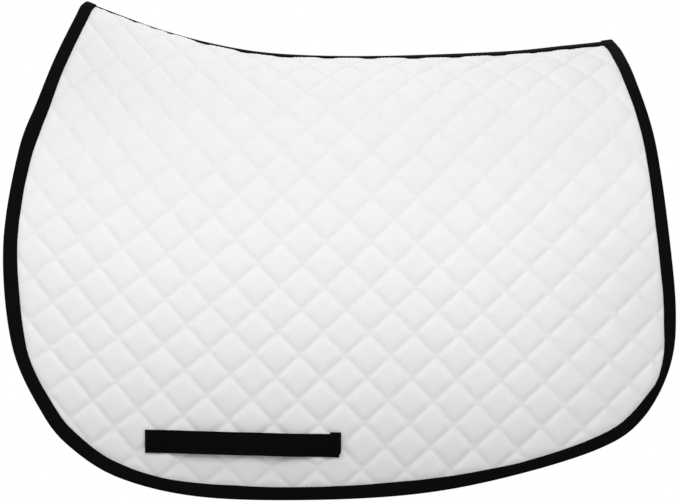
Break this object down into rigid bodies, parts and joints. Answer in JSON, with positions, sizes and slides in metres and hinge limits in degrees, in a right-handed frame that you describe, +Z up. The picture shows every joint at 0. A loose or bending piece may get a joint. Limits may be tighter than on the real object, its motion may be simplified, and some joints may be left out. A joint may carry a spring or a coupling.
{
  "type": "all purpose saddle pad",
  "caption": "Quilted white saddle pad with an arched spine, black edge binding and a webbing girth keeper on each flap, to lie under a riding saddle.",
  "frame": {"origin": "underside of the spine tape at the middle of the pad, where it lies on the horse's back", "axes": "+X to the horse's tail, +Y to its right side, +Z up"},
  "size_m": [0.687, 0.2482, 0.5113],
  "materials": {
    "quilted_cotton": "quilted cotton twill, matt white",
    "foam": "open cell foam, off white",
    "lining": "quilted cotton lining, matt white",
    "binding_tape": "black twill tape",
    "webbing": "black woven webbing"
  },
  "bodies": {
    "back": {"front_arch_binding": "binding_tape", "rear_arch_binding": "binding_tape", "spine_tape": "webbing", "spine_lining_tape": "binding_tape", "left_back_cover": "quilted_cotton", "left_back_foam": "foam", "left_back_lining": "lining", "right_back_cover": "quilted_cotton", "right_back_foam": "foam", "right_back_lining": "lining"},
    "left_flap": {"left_flap_cover": "quilted_cotton", "left_flap_foam": "foam", "left_flap_lining": "lining", "left_flap_binding": "binding_tape", "left_girth_keeper": "webbing", "left_keeper_tab": "webbing"},
    "right_flap": {"right_flap_cover": "quilted_cotton", "right_flap_foam": "foam", "right_flap_lining": "lining", "right_flap_binding": "binding_tape", "right_girth_keeper": "webbing", "right_keeper_tab": "webbing"}
  },
  "joints": [
    {"name": "left_flap_lift", "type": "hinge", "parent": "back", "child": "left_flap", "pos_m": [0, -0.10129, -0.10082], "axis": [-1, 0, 0], "range_deg": [-10, 100]},
    {"name": "right_flap_lift", "type": "hinge", "parent": "back", "child": "right_flap", "pos_m": [0, 0.10129, -0.10082], "axis": [1, 0, 0], "range_deg": [-10, 100]}
  ]
}
